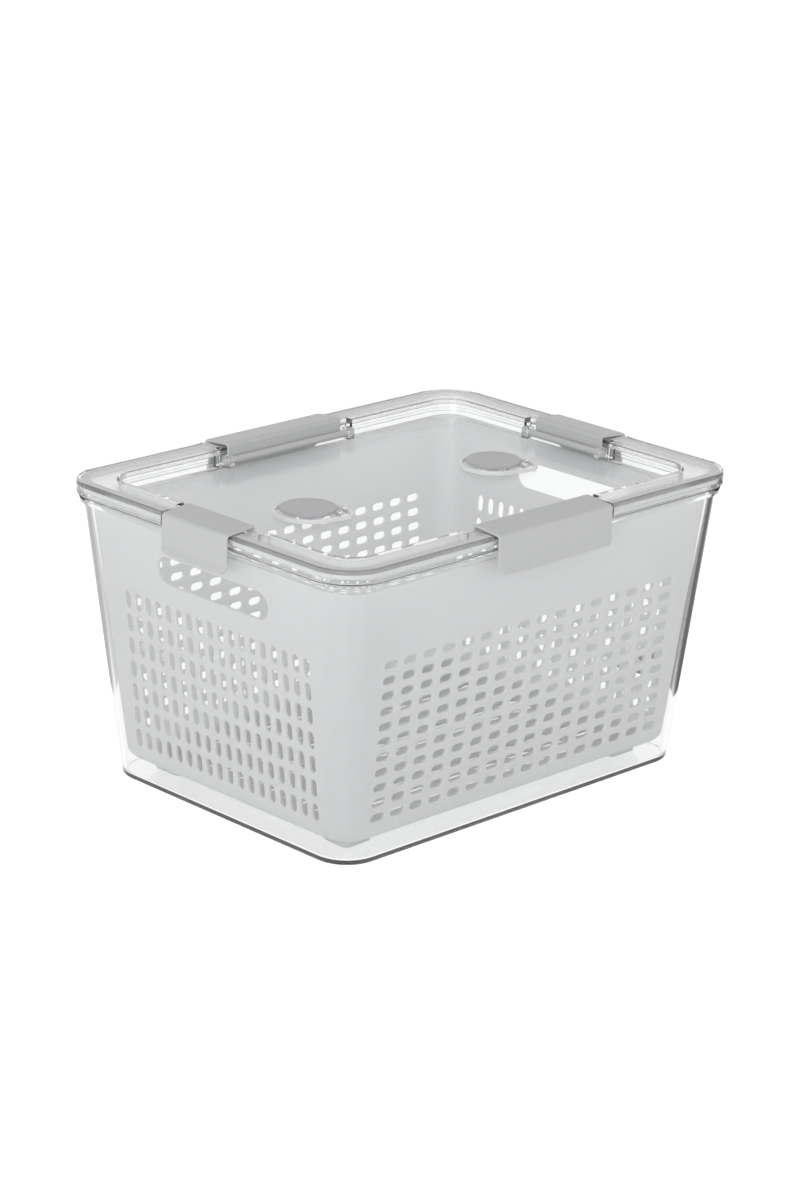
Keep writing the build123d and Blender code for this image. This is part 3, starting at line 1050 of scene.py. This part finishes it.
def drop_outline(radius: float, reach: float, tip: float, count: int = 48) -> Array:
    """Circle drawn out to a blunt tip: arc, tangent, round tip and tangent back.

    The tangent from the tip's corner touches the circle where the angle from the corner's own direction has the
    cosine radius / distance of the corner.

    Args:
        radius: radius of the circle.
        reach: distance of the tip from the centre.
        tip: half width of the tip.
        count: stretches in the arc.

    Returns:
        Array of points, counter-clockwise.
    """
    touch = math.atan2(tip, reach) + math.acos(min(1.0, radius / math.hypot(reach, tip)))
    arc = radius * rays(np.linspace(touch, 2 * math.pi - touch, count + 1))
    blunt = tip * 0.7
    tip_corners = [(*arc[-1], 0), (reach, -tip, blunt), (reach, tip, blunt), (*arc[0], 0)]
    return np.concatenate([arc, rounded_outline(tip_corners)[1:-1]])


@dataclass
class SunkLid:
    """The clear lid: ring and skirt, walls of the recess, panel, clip lugs and vent walls."""

    skin: Patches = field(default_factory=Patches)
    skirt_bottom: float = 175.0 * MM
    ring_top: float = 183.0 * MM
    ring_under: float = 179.8 * MM
    panel_top: float = 172.4 * MM
    panel_under: float = 170.2 * MM
    skirt_wall: float = 2.4 * MM
    ring_width: float = 21.6 * MM
    recess_wall: float = 2.0 * MM
    panel_margin: float = 6 * MM
    corner: float = 26.0 * MM
    recess_corner: float = 15.0 * MM
    panel_corner: float = 9 * MM
    notch_gap: float = 2.5 * MM
    notch_depth: float = 1.4 * MM
    skirt_relief: float = 1.4 * MM
    skirt_face: float = 1.8 * MM
    pocket_reach: float = 5.1 * MM
    pocket_gap: float = 7.7 * MM
    step: float = 0.25 * MM
    cell: tuple = (112 * MM, 84 * MM)
    drop: tuple = (20.6 * MM, 26.5 * MM, 4 * MM)
    drop_wall: float = 1.6 * MM
    clip_lug: Lug = Lug(3.45 * MM, 3.7 * MM, 1.8 * MM, 2.25 * MM, 0.8 * MM, 5.2 * MM, (5, 24))
    cap_lug: Lug = Lug(1.95 * MM, 2.7 * MM, 0.9 * MM, 1.15 * MM, 3.8 * MM, 6.0 * MM, (4, 20))
    arc: int = 14

    def profile(self) -> tuple:
        """Section of the lid from the panel's upper face over the ring to the panel's lower face.

        Returns:
            Offsets from the lid's edge, heights, and for each point 1 at the recess and 0 at the skirt.
        """
        width, skirt = self.ring_width, self.skirt_wall
        wall = width - self.recess_wall
        corners = [
            (-width - self.panel_margin, self.panel_top, 0),
            (-width, self.panel_top, 0.9 * MM),
            (-width, self.ring_top, 1.3 * MM),
            (0, self.ring_top, 1.5 * MM),
            (0, self.skirt_bottom, 0.5 * MM),
            (-skirt, self.skirt_bottom, 0.4 * MM),
            (-skirt, self.ring_under, 0.5 * MM),
            (-wall, self.ring_under, 0.5 * MM),
            (-wall, self.panel_under, 1.4 * MM),
            (-width - self.panel_margin, self.panel_under, 0),
        ]
        offset, height = rounded_outline(corners).T
        return offset, height, np.where(offset < -width / 2, 1.0, 0.0)

    def side_columns(self, side: int, offset: Array, height: Array, share: Array) -> Array:
        """Columns of the ring along one side, with the pocket, the notch and the cut-back skirt at its clip.

        Between the pocket's ends the recess moves outward; between the notch's ends the ring's top sinks and
        the outside of the skirt moves inward. Each change happens between two columns a short step apart.

        Args:
            side: quarter turns from the front.
            offset: the section's offsets.
            height: the section's heights.
            share: 1 for the section's points at the recess.

        Returns:
            Array of shape (points of the section, 8, 3).
        """
        clip = CLIPS[side]
        pocket, notch = (clip.length / 2 + gap for gap in (self.pocket_gap, self.notch_gap))
        half = np.array([-pocket - self.step, -pocket, -notch - self.step, -notch])
        run = np.concatenate([half, -half[::-1]])
        in_pocket, in_notch = (np.abs(run) < end + self.step / 2 for end in (pocket, notch))
        top = height > self.ring_under + 1.0 * MM
        face = (offset > -self.skirt_face) & (height > self.skirt_bottom)
        out = offset[:, None] + share[:, None] * in_pocket * self.pocket_reach
        out = out - face[:, None] * in_notch * self.skirt_relief
        up = height[:, None] - top[:, None] * in_notch * self.notch_depth
        return lay(side, run, clip.half + out, up)

    def ring(self) -> Array:
        """Whole ring, from the front side's first column.

        Returns:
            Array of shape (points of the section, columns round the lid, 3).
        """
        offset, height, share = self.profile()
        width, wall, recess, corner = self.ring_width, self.recess_wall, self.recess_corner, self.corner
        radius = np.interp(
            offset,
            [-width - self.panel_margin, -width, wall - width, -self.skirt_wall, 0],
            [self.panel_corner, recess, recess + wall, corner - self.skirt_wall, corner],
        )
        corners = lift(round_rectangle(LID_HALF[0] + offset, LID_HALF[1] + offset, radius, self.arc), height)
        corners = corners.reshape(len(offset), 4, self.arc + 1, 3)
        columns = []
        for side in range(4):
            columns += [self.side_columns(side, offset, height, share), corners[:, (side + 3) % 4]]
        return np.concatenate(columns, axis=1)

    def add_panel(self, outline: Array, under: bool) -> None:
        """Add one skin of the panel: two cells with a vent hole each, and the margin round them.

        Args:
            outline: flat points of the ring's first or last row.
            under: whether it is the lower skin.
        """
        height = self.panel_under if under else self.panel_top
        x, y = self.cell
        stop_x, stop_y = (CLIPS[side].length / 2 + self.pocket_gap for side in (0, 1))
        row = [(-x, -y), (-stop_x, -y), (0, -y)]
        left = [(0, y), (-stop_x, y), (-x, y), (-x, stop_y), (-x, -stop_y)]
        right = [(stop_x, -y), (x, -y), (x, -stop_y), (x, stop_y), (x, y), (stop_x, y)]
        cell = np.array(row + left)
        gaps = [(outline, np.array(row + right + left))]
        gaps += [(border, vent.place(VENT_HOLE, 0.0)[:, :2]) for vent, border in zip(VENTS, (cell, -cell))]
        for outer, inner in gaps:
            points = at_height(np.concatenate([outer, inner]), height)
            self.skin.add(points, gap_faces(outer, inner), inward=under)

    def add_vents(self) -> None:
        """Add the walls of the vent holes, the drop-shaped walls round the caps and the caps' lugs."""
        wall, (radius, reach, tip) = self.drop_wall, self.drop
        # how far in and how far up the drop's rounded wall goes, in millimetres
        rise = [(0, -0.3), (0, 1.75), (0.12, 2.05), (0.45, 2.2)]
        rise += [(1.15, 2.2), (1.48, 2.05), (1.6, 1.75), (1.6, -0.3)]
        outer = drop_outline(radius, reach, tip)
        inner = drop_outline(radius - wall, reach - wall, tip - wall / 2)
        for vent in VENTS:
            ends = [vent.place(VENT_HOLE, height) for height in (self.panel_under, self.panel_top)]
            self.skin.loft(ends, inward=True)
            rows = []
            for far, up in rise:
                part = far * MM / wall
                rows.append(vent.place(outer * (1 - part) + inner * part, self.panel_top + up * MM))
            rim = Patches()
            rim.loft(rows, wrap=True)
            # the rim's milky white finish is a painted highlight
            dress(rim.make(f"vent_rim_{vent.name}"), FROSTED_RIM_PAINTED_HIGHLIGHT_FINISH, "clear_plastic", "lid")
            self.add_lugs(vent.section, self.cap_lug)

    def add_lugs(self, place: Callable, lug: Lug, end: float = 0.0) -> None:
        """Add the two pierced lugs of a hinge, one on either side of its middle.

        Args:
            place: function that lays a section at a place along the hinge.
            lug: sizes of both.
            end: half length of what turns between them.
        """
        outline, bore = lug.outlines()
        near, far = end + lug.near, end + lug.far
        faces = gap_faces(outline, bore)
        flat = np.concatenate([outline, bore])
        for start, end in ((-near, -far), (far, near)):
            self.skin.add(place(flat, start), faces, inward=True)
            self.skin.add(place(flat, end), faces)
            for ring, inward in ((outline, False), (bore, True)):
                self.skin.loft([place(ring, start), place(ring, end)], inward)

    def build(self) -> None:
        """Build the lid and its seal and dress them."""
        ring = self.ring()
        self.skin.loft(ring, inward=True)
        self.add_panel(ring[0][:, :2], False)
        self.add_panel(ring[-1][:, :2], True)
        self.add_vents()
        for clip in CLIPS:
            self.add_lugs(clip.section, self.clip_lug, clip.length / 2)
        lid = self.skin.make("lid_shell")
        dress(lid, CLEAR_FINISH, "clear_plastic", "lid", "lid")
        finish_level(lid, PANEL_FINISH, self.panel_top, self.panel_under)
        finish_level(lid, DIMMED_FINISH, self.ring_under)
        self.build_seal()

    def build_seal(self) -> None:
        """Build the soft seal under the ring, a rounded section carried round the skirt's inside."""
        inset, width, low = 2.5 * MM, 5.6 * MM, 177.0 * MM
        section = round_box(-inset - width, low, -inset, self.ring_under, (0.9 * MM, 0.3 * MM), 4)
        offset, height = section.T
        half_x, half_y = LID_HALF
        rings = round_rectangle(half_x + offset, half_y + offset, self.corner + offset, self.arc)
        seal = Patches()
        seal.loft(lift(rings, height), wrap=True)
        dress(seal.make("lid_gasket", even=False), SEAL_FINISH, "silicone", "lid", "lid_seal")


@dataclass
class SideClip:
    """A bent-sheet clip: rod in the lugs, inner leg, sloping plate, outer leg with a flared lip and a catch."""

    at: ClipPlace
    sheet: float = 1.8 * MM
    rod: float = 2.2 * MM
    rod_points: int = 28
    rod_reach: float = 5.5 * MM
    leg: float = 3.3 * MM
    shell: float = 25.6 * MM
    top_outer: float = 7.8 * MM
    slope: float = 1.8 * MM
    drop: float = 23.6 * MM
    lip: float = 4.6 * MM
    flare: float = 2.4 * MM
    corner: float = 6.0 * MM
    bends: tuple = (1.6 * MM, 1.7 * MM, 2.0 * MM, 4.5 * MM)
    catch_reach: float = 21.65 * MM
    stretches: int = 74

    def middle_line(self) -> Array:
        """Middle of the sheet's section from the foot to the lip, with rounded bends, in even short steps.

        Returns:
            Array of shape (n, 2): outward and up from the hinge axis.
        """
        half = self.sheet / 2
        bottom = self.top_outer - self.drop
        inner, outer = self.leg + half, self.shell - half
        foot_bend, inner_bend, outer_bend, lip_bend = self.bends
        corners = [
            (0.0, half - self.rod, 0),
            (inner, half - self.rod, foot_bend),
            (inner, self.top_outer + self.slope - half, inner_bend),
            (outer, self.top_outer - half, outer_bend),
            (outer, bottom + self.lip, lip_bend),
            (outer + self.flare, bottom, 0),
        ]
        line = rounded_outline(corners, 6)
        run = run_along(line)
        close = np.array([0.12, 0.35, 0.7]) * MM
        even = np.linspace(0, run[-1], self.stretches)
        even = np.unique(np.concatenate([even, run, close, run[-1] - close]))
        return pairs(*(np.interp(even, run, column) for column in line.T))

    def sheet_grid(self) -> Array:
        """Both faces of the sheet as one closed grid.

        Half the thickness at a distance d from the edge is h * sqrt(1 - (1 - d / h) ** 2) up to d = h, so the
        edges are fully round. The half width is that of the clip, less the round of its two lower corners.

        Returns:
            Array of shape (columns round the sheet, points along the middle line, 3).
        """
        line = self.middle_line()
        along = np.gradient(line, axis=0)
        along /= np.linalg.norm(along, axis=1)[:, None]
        normal = np.stack([-along[:, 1], along[:, 0]])[:, None]
        run = run_along(line)
        half = self.sheet / 2
        above_lip = line[:, 1] - (self.top_outer - self.drop)
        dip = np.clip(self.corner - above_lip, 0, self.corner) * (line[:, 0] > self.shell / 2)
        wide = self.at.length / 2 - (self.corner - np.sqrt(self.corner**2 - dip**2))
        end = np.clip(np.minimum(run, run[-1] - run) / half, 0, 1)
        edge = np.array([0, 0.1, 0.3, 0.6, 1.0])
        inward = np.array([0.1, 0.4])
        right = np.concatenate([wide - edge[:, None] * half, wide * (1 - inward[:, None] * 2)])
        across = np.concatenate([right, -right[::-1]])[None]
        thick = np.concatenate([np.sqrt(1 - (1 - edge) ** 2), np.ones(len(inward))])
        raised = np.concatenate([thick, thick[::-1]])[:, None] * np.sqrt(1 - (1 - end) ** 2) * half
        upper, lower = (np.concatenate([across, line.T[:, None] + sign * normal * raised]) for sign in (1, -1))
        return self.at.place(*np.concatenate([upper, lower[:, ::-1][:, 1:-1]], axis=1))

    def build(self) -> None:
        """Build the sheet, its rod and its catch as one piece and dress it."""
        patches = Patches()
        grid = self.sheet_grid()
        patches.add(grid.reshape(-1, 3), grid_faces(*grid.shape[:2], True, False), inward=True)
        reach = self.at.length / 2 + self.rod_reach
        ends = [(-reach, 0.0), (-reach, 0.8), (-reach + 0.15 * MM, 0.94), (-reach + 0.4 * MM, 1.0)]
        patches.loft(rod_rows(self.at.section, circle(self.rod, self.rod_points), ends), inward=True)
        root, nose, blunt = self.shell - self.sheet + 0.4 * MM, self.catch_reach, 0.35 * MM
        hook = [(root, -5.9 * MM, 0), (nose, -6.9 * MM, blunt), (nose, -7.8 * MM, blunt), (root, -8.9 * MM, 0)]
        section = rounded_outline(hook, 3)
        length = self.at.length / 2 - self.corner
        patches.loft([self.at.section(section, end) for end in (-length, length)], inward=True, capped=True)
        body = f"clip_{self.at.name}"
        dress(patches.make(f"side_clip_{self.at.name}"), CLIP_FINISH, "clip_plastic", body, body)


@dataclass
class VentCap:
    """A round flip cap with a dished top, a tongue, its bar and the soft plug under it."""

    vent: Vent
    points: int = 72
    radius: float = 16.8 * MM
    flat: float = 16.5 * MM
    top: float = 176.8 * MM
    plate: float = 2.2 * MM
    dish: float = 0.45 * MM
    dish_share: float = 0.9
    bar: float = 1.1 * MM
    bar_reach: float = 5.9 * MM
    tongue: float = 3.5 * MM
    tongue_reach: float = 3.6 * MM
    plug: float = 9.2 * MM
    bar_points: int = 20
    plug_points: int = 40

    def outline(self) -> Array:
        """Outline of the plate seen from above: a circle with a short straight hinge edge.

        Returns:
            Array of shape (points, 2).
        """
        ray = circle(1.0, self.points)
        toward = np.maximum(ray[:, 0], self.flat / (2 * self.radius))
        return ray * np.minimum(self.flat / toward, self.radius)[:, None]

    def rings(self) -> list:
        """Rings of the plate, from its underside round its edge over the dished top.

        Inside the dish's share s of the radius the top lies lower by dish * (1 - (scale / s) ** 2).

        Returns:
            Scale and height of each ring.
        """
        low, top = self.top - self.plate, self.top
        rings = [(0.0, low), (0.955, low), (0.985, low + 0.15 * MM), (1.0, low + 0.5 * MM)]
        rings += [(1.0, top - 0.7 * MM), (0.99, top - 0.3 * MM), (0.965, top - 0.06 * MM), (0.93, top)]
        scale = np.linspace(self.dish_share, 0, 8)
        return rings + list(zip(scale, top - self.dish * (1 - (scale / self.dish_share) ** 2)))

    def build(self) -> None:
        """Build the cap from rings of its outline, then its tongue, bar and plug, and dress them."""
        patches = Patches()
        outline, vent = self.outline(), self.vent
        patches.loft([vent.place(outline * scale, height) for scale, height in self.rings()])
        reach = self.bar_reach
        ends = [(reach, 0.0), (reach, 0.85), (reach - 0.2 * MM, 1.0)]
        patches.loft(rod_rows(vent.section, circle(self.bar, self.bar_points), ends))
        tongue = round_box(-self.tongue_reach, -self.bar, 0, self.bar, (0.2 * MM, 0.2 * MM), 2)
        patches.loft([vent.section(tongue, end) for end in (self.tongue, -self.tongue)], capped=True)
        body = f"vent_cap_{vent.name}"
        dress(patches.make(f"flip_cap_{vent.name}"), CAP_FINISH, "cap_plastic", body, body)
        # scale and height in millimetres of the plug's rings
        plug = [(0.0, 169.4), (0.92, 169.4), (1.0, 170.0), (0.97, 171.0)]
        plug += [(1.0, 172.0), (1.0, 174.6), (0.0, 174.6)]
        patches = Patches()
        ring = circle(self.plug, self.plug_points)
        patches.loft([vent.place(ring * scale, height * MM) for scale, height in plug])
        dress(patches.make(f"vent_plug_{vent.name}"), SEAL_FINISH, "silicone", body, f"vent_seal_{vent.name}")


# ---------------------------------------------------------------- studio
class Screen(Enum):
    """Headings in degrees of the screens that the shine and the bent light see round the bin."""

    DARK = -8
    GREY = 103


SCREEN_EDGE = (0.93, 0.965)


@cache
def screens_group() -> bpy.types.NodeTree:
    """Node group for what stands round the bin: a dark screen to its right and a grey one behind it.

    Outside the radius Near the brightness falls from 1 to a screen's own where the angle between a place's
    heading and the screen's has a cosine above SCREEN_EDGE, which is about 18 degrees.

    Returns:
        The group, with inputs Place, Near, Dark and Grey, and the output Brightness.
    """
    inputs = {"Place": "Vector", "Near": "Float", "Dark": "Float", "Grey": "Float"}
    group = new_group("studio screens", inputs, {"Brightness": "Float"})
    group.add("split", "SeparateXYZ", {0: "in.Place"})
    group.math("heading", "ARCTAN2", "split.Y", "split.X")
    group.add("reach", "VectorMath", {0: "in.Place"}, operation="LENGTH")
    group.math("near", "LESS_THAN", "reach.Value", "in.Near")
    for screen in Screen:
        name = screen.name.title()
        group.math(f"turned{name}", "SUBTRACT", "heading.0", math.radians(screen.value))
        group.math(f"across{name}", "COSINE", f"turned{name}.0")
        group.smooth_step(f"clear{name}", f"across{name}.0", SCREEN_EDGE, (1.0, 0.0))
        group.math(f"lit{name}", "MAXIMUM", f"clear{name}.Result", "near.0")
        mix = {"Factor": f"lit{name}.0", "A": f"in.{name}", "B": 1.0}
        group.add(f"seen{name}", "Mix", mix, data_type="FLOAT")
    group.math("total", "MULTIPLY", "seenDark.Result", "seenGrey.Result")
    group.feed("out", {"Brightness": "total.0"})
    return group.tree


@dataclass
class Studio:
    """Pale floor, soft light and the camera."""

    centre: tuple = (0.0, 0.0, 0.09)
    focal: float = 158.49
    sensor: float = 36
    view_end: float = 20
    place: tuple = (-1.3820, -1.4301, 0.7752)
    yaw: float = 44.01
    pitch: float = 18.67
    roll: float = 1.251
    floor_size: float = 6.0
    floor_drop: float = 0.4 * MM
    floor_glow: float = 0.6
    floor_tone: tuple = (0.9, 0.9, 0.9, 1)
    horizon: float = 1.0
    zenith: float = 0.42
    ceiling: float = 0.4
    screen_dark: float = 0.15
    screen_grey: float = 0.5
    near: float = 0.23

    def camera(self) -> None:
        """Place the camera from its heading, its dip and its roll.

        The view direction is (cos p sin y, cos p cos y, -sin p) with heading y from +Y and dip p.
        """
        yaw, pitch, roll = (math.radians(angle) for angle in (self.yaw, self.pitch, self.roll))
        ahead = Vector((math.cos(pitch) * math.sin(yaw), math.cos(pitch) * math.cos(yaw), -math.sin(pitch)))
        level = Vector((math.cos(yaw), -math.sin(yaw), 0))
        above = level.cross(ahead)
        right = level * math.cos(roll) + above * math.sin(roll)
        up = above * math.cos(roll) - level * math.sin(roll)
        lens = bpy.data.cameras.new("camera")
        lens.sensor_fit = "HORIZONTAL"
        lens.sensor_width = self.sensor
        lens.lens = self.focal
        lens.clip_end = self.view_end
        camera = bpy.data.objects.new("camera", lens)
        bpy.context.scene.collection.objects.link(camera)
        turned = Matrix((right, up, -ahead)).transposed().to_4x4()
        camera.matrix_world = Matrix.Translation(self.place) @ turned
        bpy.context.scene.camera = camera

    def lamp(self, name: str, place: tuple, size: float, power: float) -> None:
        """Hang a soft square lamp that points at the bin.

        Args:
            name: name of the lamp.
            place: where it hangs.
            size: side of the square.
            power: its power in watts.
        """
        light = bpy.data.lights.new(name, "AREA")
        light.shape = "SQUARE"
        light.size = size
        light.energy = power
        lamp = bpy.data.objects.new(name, light)
        bpy.context.scene.collection.objects.link(lamp)
        lamp.location = place
        direction = Vector(self.centre) - Vector(place)
        lamp.rotation_euler = direction.to_track_quat("-Z", "Y").to_euler()

    def add_screens(self, wiring: Wiring, near: float) -> None:
        """Add the studio's screens to a floor or a sky.

        Args:
            wiring: where they go.
            near: radius up to which nothing dims.
        """
        inputs = {"Place": "place.Object", "Near": near, "Dark": self.screen_dark, "Grey": self.screen_grey}
        wiring.add("place", "TexCoord")
        wiring.add("screens", "Group", inputs, node_tree=screens_group())
        wiring.add("path", "LightPath")

    def floor(self) -> None:
        """Lay the pale floor; what bends through clear plastic sees the studio's dark screens on it."""
        size = self.floor_size
        corners = np.array([(-size, -size), (size, -size), (size, size), (-size, size)])
        sheet = Patches()
        sheet.add(at_height(corners, -self.floor_drop), np.arange(4)[None, :])
        ground = sheet.make("studio_floor", even=False)
        material, wiring = new_material("pale floor")
        self.add_screens(wiring, self.near)
        wiring.add("seen", "Emission", {"Strength": "screens.Brightness"})
        wiring.math("plain", "MAXIMUM", "path.Is Camera Ray", "path.Is Diffuse Ray")
        wiring.math("glow", "MULTIPLY", "path.Is Camera Ray", self.floor_glow)
        shader = {
            "Base Color": self.floor_tone,
            "Roughness": 0.9,
            "Specular IOR Level": 0.0,
            "Emission Color": (1, 1, 1, 1),
            "Emission Strength": "glow.0",
        }
        wiring.feed("Principled BSDF", shader)
        wiring.add("mix", "MixShader", {"Fac": "plain.0", 1: "seen.0", 2: "Principled BSDF.0"})
        wiring.feed("Material Output", {"Surface": "mix.0"})
        ground.data.materials.append(material)
        ground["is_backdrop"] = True

    def sky(self) -> None:
        """Light the room evenly, dimmer overhead; shine and bent light also see the screens and a dark roof."""
        world = bpy.data.worlds.new("studio")
        bpy.context.scene.world = world
        world.use_nodes = True
        wiring = Wiring(world.node_tree)
        self.add_screens(wiring, 0.0)
        wiring.add("split", "SeparateXYZ", {0: "place.Object"})
        ramp = {"From Min": 0.2, "From Max": 0.9, "To Min": self.horizon, "To Max": self.zenith}
        wiring.add("ramp", "MapRange", {"Value": "split.Z", **ramp})
        wiring.smooth_step("roof", "split.Z", (0.6, 0.8), (1.0, self.ceiling))
        wiring.math("product", "MULTIPLY", "roof.Result", "screens.Brightness")
        sources = {"Factor": "path.Is Diffuse Ray", "A": "product.0", "B": "ramp.Result"}
        wiring.add("between", "Mix", sources, data_type="FLOAT")
        wiring.feed("Background", {"Color": (1, 1, 1, 1), "Strength": "between.Result"})

    def build(self) -> None:
        """Set up the whole studio."""
        self.camera()
        self.floor()
        self.sky()
        self.lamp("key", (-2.2, -1.2, 0.7), size=1.3, power=14)
        self.lamp("fill", (0.8, -2.4, 0.7), size=1.3, power=2)
        view = bpy.context.scene.view_settings
        view.view_transform = "Standard"
        view.look = "None"


def write_sizes() -> None:
    """Work out the solids' box and the dressed model's box as lists of numbers."""
    boxes = {"cad": CAD_BOX, "visual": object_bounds()}
    plain = {name: [[float(v) for v in corner] for corner in box] for name, box in boxes.items()}


def main() -> None:
    """Build every sub-assembly in order."""
    logging.basicConfig(level=logging.INFO, format="%(message)s")
    Studio().build()
    ClearTub().build()
    SlottedBasket().build()
    SunkLid().build()
    for clip in CLIPS:
        SideClip(clip).build()
    for vent in VENTS:
        VentCap(vent).build()
    write_sizes()


if __name__ == "__main__":
    main()
